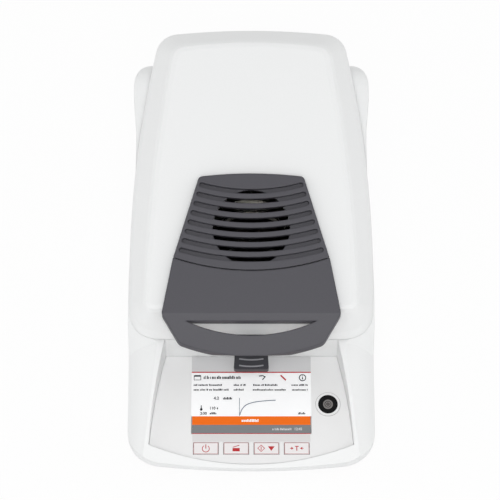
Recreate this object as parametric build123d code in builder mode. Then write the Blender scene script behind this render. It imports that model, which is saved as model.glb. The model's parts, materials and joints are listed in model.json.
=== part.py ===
from build123d import *
from math import cos, hypot, pi, radians, sin, sqrt, tan
import os

os.makedirs("parts", exist_ok=True)

# Frame: +X is the user's right, +Y runs from the terminal to the hinge, +Z is up.
# The origin is at the centre of the footprint, on the surface the instrument stands on.
# A distance "from the front" is measured back from the front lip of the base.

# The two sizes that most others follow
base_half = 103.0
lid_crease_height = 103.0

# Lid, measured along its own sloping top face
lid_tilt = 19.8
lid_crease_from_front = 103.5
lid_top_length = 230.6
lid_top_half_front = base_half - 15.7
lid_top_half_middle = base_half - 22.1
lid_top_half_rear = base_half - 37.7
lid_edge_depth = 22.6
lid_edge_lead = 13.8
lid_edge_length = 263.4
lid_edge_half_front = base_half - 3.7
lid_edge_half_middle = base_half - 4.6
lid_edge_half_rear = base_half - 24.5
lid_rim_depth = 32.5
lid_rim_lead = 20.7
lid_rim_length = 265.7
lid_rim_half_front = base_half - 2.7
lid_rim_half_middle = base_half - 3.6
lid_rim_half_rear = base_half - 23.8
lid_rear_bulge = 5.0
lid_front_corner = 26.0
lid_rear_corner = 20.0
lid_top_front_corner = 6.0
lid_top_rear_corner = 12.0
lid_top_round = 4.0
lid_edge_round = 5.0
lid_wall = 3.0
lid_notch_half = 60.0
lid_front_gap = 4.0
lid_skirt_corner = 18.0
lid_skirt_half = base_half - 23.0
lid_skirt_front = 290.0
lid_skirt_bottom = lid_crease_height - 13.0
lid_skirt_rear = 339.6
seam = 1.2

# Base
base_waist_half = base_half - 5.1
base_ear_half = base_half - 2.5
base_side_straight = 125.0
base_waist_from_front = 258.0
base_ear_from_front = 300.0
base_rear = 340.0
front_lip_bulge = 7.8
front_corner = 30.0
rear_corner = 36.0
underside = 10.0
split_height = 16.0
lip_height = 20.5
wall = 3.0
tray_wall = 2.5
tray_inset = 1.5
tray_chamfer = 4.0
rear_wall_top = lid_crease_height - 17.0
ear_inner_half = base_half - 21.0
ear_start = 262.0
rim_wall = 6.0
cavity_front = 100.0
cavity_corner = 24.0

# Terminal: the sloping panel between the two shoulders
panel_slope = 9.8
panel_from_front = 3.6
panel_height = 22.0
panel_half_front = base_half - 18.1
panel_half_middle = base_half - 22.7
panel_half_rear = base_half - 31.0
panel_side_start = 18.4
panel_rear = 97.0
overlay_thickness = 0.8
band = 6.6
shoulder_drop_front = 10.0
shoulder_drop_rear = 26.0
shoulder_end = 112.0
shoulder_bulge = 0.08

# Display, keys and level, measured up the slope from the panel's front edge
screen_width = 100.0
screen_depth = 68.2
screen_start = 26.0
lcd_thickness = 6.0
lcd_margin = 2.0
key_count = 4
key_width = 20.5
key_depth = 10.0
key_pitch = 25.1
key_centre = 13.5
key_stand = 0.3
key_travel = 0.5
key_stem_radius = 2.0
key_gap = 0.35
key_board_drop = 8.0
level_x = 64.0
level_centre = 51.9
level_ring_radius = 10.1
level_vial_radius = 8.2
level_depth = 7.0

# Sample chamber
chamber_from_front = 168.0
deck_top = lid_crease_height - 39.0
dish_radius = 64.0
dish_flange = 67.0
dish_floor = deck_top - 11.0
sheet = 1.0
shield_outer = 56.0
shield_inner = 51.0
handler_bottom = deck_top + 1.3
handler_thickness = 2.2
handler_inner = 44.2
handler_outer = 55.0
handler_lift = 4.0
grip_width = 29.0
grip_front = 67.5
grip_rear = 93.0
grip_height = 4.2
grip_taper = 1.4
grip_corner = 2.0
pan_radius = 43.5
pan_rim_radius = 46.0
pan_depth = 8.0
pan_wall = 0.4
seat_gap = 0.3
support_radius = 38.0
support_arm = 6.0
post_radius = 5.0
post_gap = 3.0
weigh_travel = 0.4

# Heater in the lid
box_half = 72.0
box_front = 113.5
box_rear = 252.0
box_bottom = deck_top + 10.0
box_sheet = 1.2
glass_radius = 50.0
glass_hole = 47.0
heat_glass = 3.0
reflector_top = lid_crease_height + 1.0
reflector_shoulder = lid_crease_height - 8.0
holder_length = 8.0
holder_height = 13.0
magnet_x = 60.0
magnet_from_front = 242.0
buffer_x = 64.0
buffer_from_front = 120.5
buffer_radius = 4.0
vent_radius = 32.0
lamp_ring_radius = 42.0
lamp_tube_radius = 4.0
lamp_height = box_bottom + 14.0
lamp_arc = 330.0
box_corner = 10.0
sensor_from_front = 236.0
sensor_radius = 2.5
sensor_length = 14.0

# Dark cover on the lid, measured from the front, and its slots
cover_rise = 5.0
cover_rear = 208.2
cover_rear_bulge = 2.6
cover_half_rear = 43.4
cover_half_seam = 64.0
cover_half_fold = 73.3
cover_seam = 143.5
cover_seam_sag = 10.0
cover_gap = 0.8
fold_from_front = 97.8
apron_front = 70.2
apron_corner_from_front = 78.9
apron_corner_half = 59.3
apron_bottom = lid_crease_height - 18.0
apron_thickness = 4.0
slot_count = 8
slot_first = 201.7
slot_pitch = 7.43
slot_width = 4.0
slot_radius_first = 161.0
slot_radius_step = 9.0
slot_half_first = 41.1
slot_half_step = 2.34
slot_depth = 3.4
cover_edge = 4.0
finger_half = 54.0
finger_top = 93.2
finger_sag = 9.5
grille_screws = [(-58.0, 145.2), (58.0, 145.2), (0.0, 204.5)]
handle_screws = [(-62.0, 108.8), (-30.0, 108.8), (30.0, 108.8), (62.0, 108.8)]
cover_head_radius = 2.7
screw_bite = 2.5

# Hinge
hinge_from_front = 314.0
hinge_height = lid_crease_height + 15.0
pin_radius = 3.0
pin_clearance = 0.05
bush_radius = 5.0
bush_flange_radius = 7.0
ear_boss_radius = 8.0
boss_length = 11.0
pin_inner_half = ear_inner_half - 10.0

# Electronics in the base
key_post_x = 50.0
board_post_radius = 2.5
board = 1.6
standoff = 6.0
standoff_radius = 3.0
main_board_x = -52.0
main_board_from_front = 175.0
main_board_width = 64.0
main_board_length = 130.0
supply_x = 52.0
supply_from_front = 195.0
supply_width = 64.0
supply_length = 150.0
cell_front = 156.0
cell_length = 130.0
cell_width = 30.0
cell_top = 40.0
cell_height = 20.0
bracket_length = 40.0
connector_x = 24.0
connector_width = 80.0
connector_height = 40.0
connector_tall = 36.0
connector_recess = 1.5
fan_x = -42.0
fan_height = 36.0
fan_size = 40.0
fan_depth = 10.0
fan_hub_radius = 11.0
fan_blades = 7
fan_tip_gap = 0.8
vent_rows = 9
vent_pitch = 4.2
vent_slot = 2.2

screw_radius = 1.6
head_height = 1.5
housing_post_x = base_half - 14.0
housing_posts = [(side * housing_post_x, reach) for side in (-1, 1) for reach in (60.0, 130.0, 240.0)]
housing_post_radius = 3.2
housing_screw_length = 16.0
connectors = {
    "mains_inlet": (46.0, 40.0, 27.0, 20.0),
    "serial_port": (10.0, 47.5, 31.0, 12.5),
    "usb_device_port": (0.0, 31.0, 12.0, 11.0),
    "usb_host_port": (18.0, 31.0, 14.0, 8.0),
}
connector_depth = {"mains_inlet": 26.0, "serial_port": 12.0, "usb_device_port": 14.0, "usb_host_port": 14.0}
socket_wall = 1.6

# Feet
foot_x = base_half - 27.0
foot_from_front = 26.0
wheel_radius = 14.0
wheel_bottom = 1.5
wheel_thickness = 5.0
wheel_notches = 20
stem_radius = 4.0
stem_clearance = 0.08
foot_boss_radius = 6.0
pad_radius = 11.0
rear_foot_x = base_half - 25.0
rear_foot_from_front = 314.0
rear_foot_radius = 10.0

tilt = radians(lid_tilt)
slope = radians(panel_slope)


def lid_y(along, depth_below):
    """Distance from the front of a point along the lid's slope and below its top face."""
    return lid_crease_from_front + along * cos(tilt) + depth_below * sin(tilt)


def between(first, second, share):
    """Values a share of the way from the first ones to the second ones."""
    return [a + share * (b - a) for a, b in zip(first, second)]


# The lid's outlines, each given by its depth, lead, length, half-widths and corner radii
rim_halves = (lid_rim_half_front, lid_rim_half_middle, lid_rim_half_rear)
edge_halves = (lid_edge_half_front, lid_edge_half_middle, lid_edge_half_rear)
top_halves = (lid_top_half_front, lid_top_half_middle, lid_top_half_rear)
side_corners = (lid_front_corner, lid_rear_corner)
top_corners = (lid_top_front_corner, lid_top_rear_corner)
rim_values = (lid_rim_depth, lid_rim_lead, lid_rim_length, *rim_halves, *side_corners)
edge_values = (lid_edge_depth, lid_edge_lead, lid_edge_length, *edge_halves, *side_corners)
top_values = (0.0, 0.0, lid_top_length, *top_halves, *top_corners)

# Each rounded edge is three outlines: where it begins, its middle, pulled in from the corner, and its end.
bevel_run = lid_edge_half_middle - lid_top_half_middle
bevel_face = hypot(bevel_run, lid_edge_depth)
skirt_face = lid_rim_depth - lid_edge_depth
top_share = lid_top_round / bevel_face
edge_share = 1 - lid_edge_round / bevel_face
skirt_share = lid_edge_round / skirt_face
top_pull = lid_top_round / 4
edge_pull = lid_edge_round / 4 * bevel_run / bevel_face
rounded_sections = [
    (rim_values, 0.0),
    (between(edge_values, rim_values, skirt_share), 0.0),
    (between(edge_values, rim_values, skirt_share / 4), edge_pull / 2),
    (between(top_values, edge_values, edge_share), 0.0),
    (between(top_values, edge_values, top_share), 0.0),
    (between(top_values, edge_values, top_share / 4), top_pull),
    (top_values, lid_top_round),
]
overall_depth = max(lid_y(values[2] - values[1] - inset, values[0]) for values, inset in rounded_sections)
front = -overall_depth / 2


def y(from_front):
    return front + from_front


def lid_z(from_front, depth_below=0.0):
    """Height of the lid's top plane, or of a plane that lies below it, at a distance from the front."""
    return lid_crease_height + (from_front - lid_crease_from_front) * tan(tilt) - depth_below / cos(tilt)


lid_plane = Plane(
    origin=(0, y(lid_crease_from_front), lid_crease_height),
    x_dir=(1, 0, 0),
    z_dir=(0, -sin(tilt), cos(tilt)),
)
panel_plane = Plane(
    origin=(0, y(panel_from_front), panel_height),
    x_dir=(1, 0, 0),
    z_dir=(0, -sin(slope), cos(slope)),
)
chamber = (0, y(chamber_from_front))
key_places = [((index - (key_count - 1) / 2) * key_pitch, key_centre) for index in range(key_count)]
post_places = [(side * key_post_x, key_centre) for side in (-1, 1)]
hinge_axis = (y(hinge_from_front), hinge_height)


def vent_places(x, wall_y):
    """Centres of a stack of level slots in front of the fan."""
    heights = [fan_height + (row - (vent_rows - 1) / 2) * vent_pitch for row in range(vent_rows)]
    return [(x, wall_y, height) for height in heights]


def save(piece, name):
    piece.part.label = name
    export_step(piece.part, f"parts/{name}.step")


# The lid's shell is lofted through three outlines that lie parallel to its top face.
def lid_outline(plane, lead, length, halves, corners, inset=0.0):
    """An outline across the lid: straight front, bowed sides and a gently bulged rear."""
    half_front, half_middle, half_rear = (half - inset for half in halves)
    start = inset - lead
    end = length - lead - lid_rear_bulge - inset
    with BuildSketch(plane) as outline:
        with BuildLine():
            side = ThreePointArc((half_front, start), (half_middle, (start + end) / 2), (half_rear, end))
            mirror(side, about=Plane.YZ)
            Line((-half_front, start), (half_front, start))
            ThreePointArc((half_rear, end), (0, end + lid_rear_bulge), (-half_rear, end))
        make_face()
        fillet(outline.vertices().group_by(Axis.Y)[0], corners[0] - inset)
        fillet(outline.vertices().group_by(Axis.Y)[-1], corners[1] - inset)
    return outline.sketch


def lid_section(values, inset=0.0, drop=0.0):
    """One outline of the lid, from its depth, lead, length, half-widths and corner radii."""
    depth, lead, length, *rest = values
    return lid_outline(lid_plane.offset(-depth - drop), lead, length, rest[:3], rest[3:], inset)


def lid_form(inset=0.0):
    """The lid's outer form, or the hollow inside it when an inset is given."""
    if inset:
        sections = [
            lid_section(rim_values, inset, inset),
            lid_section(edge_values, inset),
            lid_section(top_values, 0.7 * inset, inset),
        ]
    else:
        sections = [lid_section(values, pull) for values, pull in rounded_sections]
    with BuildPart() as form:
        loft(sections, ruled=True)
    return form.part


def side_view(points, x=0.0):
    """A closed outline in the side view, its points given as distance from the front and height."""
    with BuildSketch(Plane.YZ.offset(x)) as outline:
        with BuildLine():
            Polyline([(y(from_front), height) for from_front, height in points], close=True)
        make_face()
    return outline.sketch


def along_slope(from_front, depth_below=0.0):
    """Distance up the lid's slope of a point at a distance from the front, in a plane below the top."""
    return (from_front - lid_crease_from_front - depth_below * sin(tilt)) / cos(tilt)


def on_slope(x, from_front):
    """A point of the lid's top face in the face's own axes."""
    return (x, along_slope(from_front))


# The base is one footprint, raised and then trimmed by the shoulders' cross-sections and the ears' crown.
rim_from_front = lid_y(-lid_rim_lead, lid_rim_depth)
rim_to_axis = (lid_z(hinge_from_front, lid_rim_depth) - hinge_height) * cos(tilt)
crown_radius = rim_to_axis - seam * cos(tilt)


def swept_step(start, end):
    """Two equal arcs that step an edge sideways, parallel to Y at both ends."""
    middle = (Vector(*start) + Vector(*end)) / 2
    away = TangentArc(start, middle, tangent=(0, 1))
    return away, TangentArc(middle, end, tangent=away % 1)


def base_outline(plane, inset=0.0):
    """The base's footprint, or an outline inside it: bowed front, straight sides, a waist and two ears."""
    half = base_half - inset
    ear_half = base_ear_half - inset
    rear_edge = y(base_rear - inset)
    lip_edge = y(front_lip_bulge + inset)
    with BuildSketch(plane) as outline:
        with BuildLine():
            ThreePointArc((-half, lip_edge), (0, y(inset)), (half, lip_edge))
            side = Line((half, lip_edge), (half, y(base_side_straight)))
            waist = (base_waist_half - inset, y(base_waist_from_front))
            ear = (ear_half, y(base_ear_from_front))
            to_waist = swept_step(side @ 1, waist)
            to_ear = swept_step(waist, ear)
            back = Line(ear, (ear_half, rear_edge))
            mirror([side, *to_waist, *to_ear, back], about=Plane.YZ)
            Line((ear_half, rear_edge), (-ear_half, rear_edge))
        make_face()
        fillet(outline.vertices().group_by(Axis.Y)[0], front_corner - inset)
        fillet(outline.vertices().group_by(Axis.Y)[-1], rear_corner - inset)
    return outline.sketch


def shoulder_section(from_front, top, flat, drop, inset):
    """A cross-section of the base, flat on top with a slightly bulged shoulder falling away on each side."""
    side = base_half + seam - inset
    flat = flat - inset / 2
    top = top - inset / cos(tilt)
    with BuildSketch(Plane(origin=(0, y(from_front), 0), x_dir=(1, 0, 0), z_dir=(0, -1, 0))) as section:
        with BuildLine():
            right = Line((side, 0), (side, top - drop))
            run = side - flat
            bulge = 0.5 + shoulder_bulge
            arc = ThreePointArc((side, top - drop), (flat + bulge * run, top - (1 - bulge) * drop), (flat, top))
            mirror([right, arc], about=Plane.YZ)
            Line((-flat, top), (flat, top))
            Line((-side, 0), (side, 0))
        make_face()
    return section.sketch


def base_form(inset=0.0, bottom=split_height):
    """The base's outer form above its split line, or the hollow inside it when an inset is given."""
    rise = (lid_z(rim_from_front, lid_rim_depth) - seam - lip_height) / rim_from_front
    band_front = panel_half_front + band
    band_rear = panel_half_rear + band
    run = lid_crease_height
    reach = hinge_from_front + 2 * crown_radius
    sections = [
        shoulder_section(-wall, lip_height - wall * rise, band_front, shoulder_drop_front, inset),
        shoulder_section(
            rim_from_front, lid_z(rim_from_front, lid_rim_depth) - seam, band_rear, shoulder_drop_rear, inset
        ),
        shoulder_section(
            shoulder_end, lid_z(shoulder_end, lid_rim_depth) - seam, base_half - wall, wall, inset
        ),
        shoulder_section(reach, lid_z(reach, lid_rim_depth) - seam, base_half - wall, wall, inset),
    ]
    crown = crown_radius - inset
    axis_y, axis_z = hinge_axis
    with BuildPart() as form:
        extrude(base_outline(Plane.XY.offset(bottom), inset), amount=hinge_height + run)
        loft(sections, ruled=True, mode=Mode.INTERSECT)
        with BuildSketch(Plane.YZ):
            with BuildLine():
                crest = (axis_y - crown * sin(tilt), axis_z + crown * cos(tilt))
                turn = (axis_y + crown * cos(pi / 4), axis_z + crown * sin(pi / 4))
                back = (axis_y + crown, axis_z)
                ThreePointArc(crest, turn, back)
                drop = crown + inset
                Polyline(back, (axis_y + crown, axis_z - drop), (y(reach), axis_z - drop))
                Polyline((y(reach), axis_z - drop), (y(reach), 2 * axis_z), (crest[0], 2 * axis_z), crest)
            make_face()
        extrude(amount=base_half, both=True, mode=Mode.SUBTRACT)
    return form.part


def panel_outline(grow=0.0):
    """The terminal panel seen from above: bowed front, bowed sides and a straight rear."""
    with BuildSketch(Plane.XY) as outline:
        with BuildLine():
            side_front = (panel_half_front, y(panel_side_start))
            side_middle = (panel_half_middle, y((panel_side_start + panel_rear) / 2))
            side_rear = (panel_half_rear, y(panel_rear))
            ThreePointArc((-panel_half_front, y(panel_side_start)), (0, y(panel_from_front)), side_front)
            side = ThreePointArc(side_front, side_middle, side_rear)
            mirror(side, about=Plane.YZ)
            Line(side_rear, (-panel_half_rear, y(panel_rear)))
        make_face()
        if grow:
            offset(amount=grow, kind=Kind.INTERSECTION)
    return outline.sketch


def panel_prism(depth_below, grow=0.0):
    """Everything above a plane that lies below the panel, inside the panel's outline."""
    with BuildPart() as prism:
        extrude(panel_outline(grow), amount=2 * lid_crease_height)
        split(bisect_by=panel_plane.offset(-depth_below), keep=Keep.TOP)
    return prism.part


# Upper housing: the white shell of the base, with the deck, the ears and the terminal's recess
deck_under = deck_top - wall
floor_top = underside + tray_wall
chamber_x, chamber_y = chamber
panel_floor = tray_wall
big = 2 * overall_depth

with BuildPart() as hollow:
    add(base_form(wall, split_height - wall))
    split(bisect_by=Plane.XY.offset(deck_under), keep=Keep.BOTTOM)
    add(panel_prism(overlay_thickness + panel_floor, wall), mode=Mode.SUBTRACT)

with BuildPart() as ear_pockets:
    add(base_form(wall, deck_under - wall))
    with Locations((0, y(ear_start - wall), deck_under)):
        Box(
            big, ear_start, big,
            align=(Align.CENTER, Align.MAX, Align.CENTER), mode=Mode.SUBTRACT,
        )
    with Locations((0, y(ear_start), deck_under)):
        Box(2 * (ear_inner_half + wall), big, big, mode=Mode.SUBTRACT)

with BuildPart() as posts:
    with BuildSketch(Plane.XY.offset(floor_top)):
        with Locations(*[(x, y(from_front)) for x, from_front in housing_posts]):
            Circle(housing_post_radius)
    extrude(amount=deck_top - wall / 2 - floor_top)
    add(base_form(wall / 2, floor_top), mode=Mode.INTERSECT)

with BuildPart() as upper_housing:
    add(base_form())
    add(hollow.part, mode=Mode.SUBTRACT)
    add(ear_pockets.part, mode=Mode.SUBTRACT)
    add(panel_prism(overlay_thickness), mode=Mode.SUBTRACT)
    with BuildSketch(Plane.XY.offset(deck_top)) as well:
        add(base_outline(Plane.XY, rim_wall))
        with Locations((0, y(cavity_front))):
            Rectangle(big, overall_depth, align=(Align.CENTER, Align.MAX), mode=Mode.SUBTRACT)
        with Locations((0, y(ear_start))):
            Rectangle(big, overall_depth, align=(Align.CENTER, Align.MIN), mode=Mode.SUBTRACT)
        fillet(well.vertices().group_by(Axis.Y)[0], cavity_corner)
        with Locations((0, y(ear_start - wall))):
            Rectangle(2 * ear_inner_half, base_rear - ear_start, align=(Align.CENTER, Align.MIN))
    extrude(amount=overall_depth, mode=Mode.SUBTRACT)
    with BuildSketch(Plane.XY.offset(rear_wall_top)):
        with Locations((0, y(ear_start))):
            Rectangle(2 * ear_inner_half, overall_depth, align=(Align.CENTER, Align.MIN))
    extrude(amount=overall_depth, mode=Mode.SUBTRACT)
    with BuildSketch(Plane.XY.offset(deck_under)):
        with Locations(chamber):
            Circle(dish_radius + seat_gap)
    extrude(amount=2 * wall, mode=Mode.SUBTRACT)
    with BuildSketch(Plane.XY.offset(deck_top)):
        with Locations((0, y(panel_rear - wall))):
            Rectangle(grip_width + 3, cavity_front, align=(Align.CENTER, Align.MIN))
    extrude(amount=wall + seam, mode=Mode.SUBTRACT)
    with BuildSketch(panel_plane.offset(-overlay_thickness - panel_floor - wall)):
        with Locations((0, screen_start + screen_depth / 2)):
            Rectangle(screen_width - 2 * lcd_margin, screen_depth - 2 * lcd_margin)
        with Locations(key_places):
            Rectangle(key_width + 2 * key_gap, key_depth + 2 * key_gap)
        with Locations((level_x, level_centre)):
            Circle(level_ring_radius + pin_clearance)
    extrude(amount=panel_floor + wall + overlay_thickness, mode=Mode.SUBTRACT)
    with BuildSketch(panel_plane.offset(-overlay_thickness - panel_floor)):
        with Locations(*post_places):
            Circle(board_post_radius)
    extrude(amount=panel_floor + overlay_thickness - key_board_drop)
    for side in (-1, 1):
        with Locations((side * (ear_inner_half + boss_length / 2), *hinge_axis)):
            Cylinder(ear_boss_radius, boss_length, rotation=(0, 90, 0))
    with Locations((0, *hinge_axis)):
        Cylinder(pin_radius, 2 * (ear_inner_half + boss_length), rotation=(0, 90, 0), mode=Mode.SUBTRACT)
    with Locations((connector_x, y(base_rear), connector_height)):
        Box(connector_width - 2 * wall, 4 * wall, connector_tall - 2 * wall, mode=Mode.SUBTRACT)
    with Locations((connector_x, y(base_rear), connector_height)):
        Box(connector_width, 2 * connector_recess, connector_tall, mode=Mode.SUBTRACT)
    add(posts.part)
    with Locations(*[(x, y(from_front), floor_top) for x, from_front in housing_posts]):
        Cylinder(
            screw_radius, housing_screw_length,
            align=(Align.CENTER, Align.CENTER, Align.MIN), mode=Mode.SUBTRACT,
        )
    with Locations(*vent_places(fan_x, y(base_rear))):
        Box(fan_size - 2 * wall, 4 * wall, vent_slot, mode=Mode.SUBTRACT)
save(upper_housing, "upper_housing")

# Lid shell: the hollow form, a ledge across its rear and a skirt that drops between the ears
skirt_inner = lid_skirt_half - lid_wall
ledge_start = along_slope(lid_skirt_front, lid_rim_depth)
skirt_back = lid_y(lid_rim_length - lid_rim_lead - lid_wall, lid_rim_depth)
skirt_top = lid_z(skirt_back, lid_rim_depth - lid_wall)


def skirt_outline(half, front_edge, rear_edge, corner):
    """The skirt seen from above, with rounded rear corners."""
    with BuildSketch() as outline:
        with Locations((0, y(front_edge))):
            Rectangle(2 * half, rear_edge - front_edge, align=(Align.CENTER, Align.MIN))
        fillet(outline.vertices().group_by(Axis.Y)[-1], corner)
    return outline.sketch


with BuildPart() as skirt:
    extrude(
        side_view([
            (lid_skirt_front, lid_z(lid_skirt_front, lid_rim_depth - lid_wall)),
            (lid_skirt_front, lid_skirt_bottom),
            (lid_skirt_rear, lid_skirt_bottom),
            (skirt_back, skirt_top),
        ]),
        amount=lid_skirt_half, both=True,
    )
    extrude(
        skirt_outline(lid_skirt_half, lid_skirt_front, skirt_back, lid_skirt_corner),
        amount=2 * hinge_height, mode=Mode.INTERSECT,
    )
    extrude(
        skirt_outline(
            skirt_inner, lid_skirt_front - lid_wall, lid_skirt_rear - lid_wall, lid_skirt_corner - lid_wall
        ),
        amount=2 * hinge_height, mode=Mode.SUBTRACT,
    )

with BuildPart() as lid_shell:
    add(lid_form())
    add(lid_form(lid_wall), mode=Mode.SUBTRACT)
    with BuildSketch(lid_plane.offset(-lid_rim_depth)):
        add(lid_outline(Plane.XY, lid_rim_lead, lid_rim_length, rim_halves, side_corners, lid_wall / 2))
        with Locations((0, ledge_start)):
            Rectangle(big, big, align=(Align.CENTER, Align.MAX), mode=Mode.SUBTRACT)
        with Locations((0, ledge_start)):
            opening = along_slope(lid_skirt_rear - lid_wall, lid_rim_depth) - ledge_start
            Rectangle(2 * skirt_inner, opening, align=(Align.CENTER, Align.MIN), mode=Mode.SUBTRACT)
    extrude(amount=lid_wall)
    add(skirt.part)
    with Locations((chamber_x, chamber_y, lid_crease_height)):
        Cylinder(vent_radius, lid_crease_height, mode=Mode.SUBTRACT)
    with Locations((0, *hinge_axis)):
        Cylinder(bush_radius, big, rotation=(0, 90, 0), mode=Mode.SUBTRACT)
    with BuildSketch(lid_plane):
        with Locations(*[on_slope(*place) for place in grille_screws + handle_screws]):
            Circle(screw_radius)
    extrude(amount=-lid_wall, mode=Mode.SUBTRACT)
    notch_top = deck_top + wall + handler_lift + handler_thickness
    with Locations((0, y(rim_from_front), notch_top)):
        Box(
            2 * lid_notch_half, 4 * lid_wall, lid_crease_height,
            align=(Align.CENTER, Align.CENTER, Align.MAX), mode=Mode.SUBTRACT,
        )
    with Locations((0, y(rim_from_front), deck_top + lid_front_gap)):
        Box(
            big, 8 * lid_wall, lid_crease_height,
            align=(Align.CENTER, Align.CENTER, Align.MAX), mode=Mode.SUBTRACT,
        )
save(lid_shell, "lid_shell")

# Bottom tray: floor, low wall set back from the upper housing, bosses for the feet and the boards
foot_y = y(foot_from_front)
rear_foot_y = y(rear_foot_from_front)
foot_places = [(side * foot_x, foot_y) for side in (-1, 1)]
main_board_y = y(main_board_from_front)
supply_y = y(supply_from_front)
board_top = floor_top + standoff


def corners(x, centre_y, width, length, margin):
    """The four mounting points of a board, set in from its corners."""
    return [
        (x + i * (width / 2 - margin), centre_y + j * (length / 2 - margin)) for i in (-1, 1) for j in (-1, 1)
    ]


main_board_holes = corners(main_board_x, main_board_y, main_board_width, main_board_length, standoff)
supply_holes = corners(supply_x, supply_y, supply_width, supply_length, standoff)

with BuildPart() as bottom_tray:
    extrude(base_outline(Plane.XY.offset(underside), tray_inset), amount=split_height - underside)
    chamfer(bottom_tray.edges().group_by(Axis.Z)[0], tray_chamfer)
    extrude(
        base_outline(Plane.XY.offset(floor_top), tray_inset + tray_wall),
        amount=split_height, mode=Mode.SUBTRACT,
    )
    with BuildSketch(Plane.XY.offset(underside)):
        with Locations(*foot_places):
            Circle(foot_boss_radius)
        with Locations(*main_board_holes, *supply_holes):
            Circle(standoff_radius)
    extrude(amount=tray_wall + standoff)
    with Locations(*[(x, foot_y, underside) for x, foot_y in foot_places]):
        Cylinder(stem_radius + stem_clearance, big, mode=Mode.SUBTRACT)
    with Locations(*[(x, y(from_front), underside) for x, from_front in housing_posts]):
        Cylinder(screw_radius, 4 * tray_wall, mode=Mode.SUBTRACT)
        Cylinder(2 * screw_radius, 2 * head_height, mode=Mode.SUBTRACT)
save(bottom_tray, "bottom_tray")

# Levelling feet: a knurled wheel on a stem, with a rubber pad under it
for side_name, side in (("left", -1), ("right", 1)):
    with BuildPart() as wheel:
        with BuildSketch(Plane.XY.offset(wheel_bottom)):
            with Locations((side * foot_x, foot_y)):
                Circle(wheel_radius)
                with PolarLocations(wheel_radius + 0.4, wheel_notches):
                    Circle(1.0, mode=Mode.SUBTRACT)
        extrude(amount=wheel_thickness)
        with Locations((side * foot_x, foot_y, wheel_bottom)):
            Cylinder(
                stem_radius, board_top - wheel_bottom,
                align=(Align.CENTER, Align.CENTER, Align.MIN),
            )
    save(wheel, f"foot_wheel_{side_name}")

    with BuildPart() as pad:
        with Locations((side * foot_x, foot_y, 0)):
            Cylinder(pad_radius, wheel_bottom, align=(Align.CENTER, Align.CENTER, Align.MIN))
    save(pad, f"foot_pad_{side_name}")

with BuildPart() as rear_feet:
    with Locations((-rear_foot_x, rear_foot_y, 0), (rear_foot_x, rear_foot_y, 0)):
        Cylinder(rear_foot_radius, underside, align=(Align.CENTER, Align.CENTER, Align.MIN))
    chamfer(rear_feet.edges().group_by(Axis.Z)[0], 1.0)
save(rear_feet, "rear_feet")

# Terminal: overlay, display, four keys on their board, and the level
with BuildPart() as overlay_panel:
    add(panel_prism(overlay_thickness, -seat_gap))
    split(bisect_by=panel_plane, keep=Keep.BOTTOM)
    with BuildSketch(panel_plane.offset(-overlay_thickness)):
        with Locations((0, screen_start + screen_depth / 2)):
            Rectangle(screen_width, screen_depth)
        with Locations(*key_places):
            Rectangle(key_width + 2 * key_gap, key_depth + 2 * key_gap)
        with Locations((level_x, level_centre)):
            Circle(level_ring_radius)
    extrude(amount=overlay_thickness, mode=Mode.SUBTRACT)
save(overlay_panel, "overlay_panel")


def panel_block(x, along, width, depth, bottom, top):
    """A rectangular block on the terminal, between two heights measured from the panel's face."""
    with BuildPart() as block:
        with BuildSketch(panel_plane.offset(bottom)):
            with Locations((x, along)):
                Rectangle(width, depth)
        extrude(amount=top - bottom)
    return block


screen_middle = screen_start + screen_depth / 2
save(panel_block(0, screen_middle, screen_width, screen_depth, -overlay_thickness, 0), "display_glass")

lcd_width = screen_width - 2 * lcd_margin - seat_gap
lcd_depth = screen_depth - 2 * lcd_margin - seat_gap
lcd_bottom = -overlay_thickness - lcd_thickness
save(panel_block(0, screen_middle, lcd_width, lcd_depth, lcd_bottom, -overlay_thickness), "display_module")

cap_bottom = -overlay_thickness - panel_floor + key_travel
dome_top = -key_board_drop + overlay_thickness
for index, key_name in enumerate(("power", "method", "start", "tare")):
    with BuildPart() as key:
        with BuildSketch(panel_plane.offset(cap_bottom)):
            with Locations(key_places[index]):
                RectangleRounded(key_width, key_depth, key_gap)
        extrude(amount=key_stand - cap_bottom)
        with BuildSketch(panel_plane.offset(dome_top + key_travel + 0.1)):
            with Locations(key_places[index]):
                Circle(key_stem_radius)
        extrude(amount=cap_bottom - dome_top - key_travel)
    save(key, f"key_{key_name}")

with BuildPart() as key_board:
    with BuildSketch(panel_plane.offset(-key_board_drop - board)):
        with Locations((0, key_centre)):
            Rectangle(2 * key_post_x + 3 * board_post_radius, key_depth + 4)
    extrude(amount=board)
    with BuildSketch(panel_plane.offset(-key_board_drop)):
        with Locations(*key_places):
            Circle(2 * key_stem_radius)
    extrude(amount=overlay_thickness)
save(key_board, "key_board")

with BuildPart() as level_ring:
    with BuildSketch(panel_plane.offset(-level_depth)):
        with Locations((level_x, level_centre)):
            Circle(level_ring_radius - pin_clearance)
            Circle(level_vial_radius, mode=Mode.SUBTRACT)
    extrude(amount=level_depth + 2 * key_stand)
save(level_ring, "level_ring")

with BuildPart() as level_cup:
    with BuildSketch(panel_plane.offset(-level_depth)):
        with Locations((level_x, level_centre)):
            Circle(level_vial_radius)
    extrude(amount=level_depth)
    with BuildSketch(panel_plane.offset(-level_depth / 2)):
        with Locations((level_x, level_centre)):
            Circle(level_vial_radius / 2)
    extrude(amount=level_depth, mode=Mode.SUBTRACT)
save(level_cup, "level_cup")

with BuildPart() as level_vial:
    with BuildSketch(panel_plane.offset(-level_depth / 2)):
        with Locations((level_x, level_centre)):
            Circle(level_vial_radius / 2)
    extrude(amount=level_depth / 2 + key_stand)
save(level_vial, "level_vial")

# Sample chamber, all round about one upright axis
chamber_plane = Plane(origin=(*chamber, 0), x_dir=(1, 0, 0), z_dir=(0, -1, 0))


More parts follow.
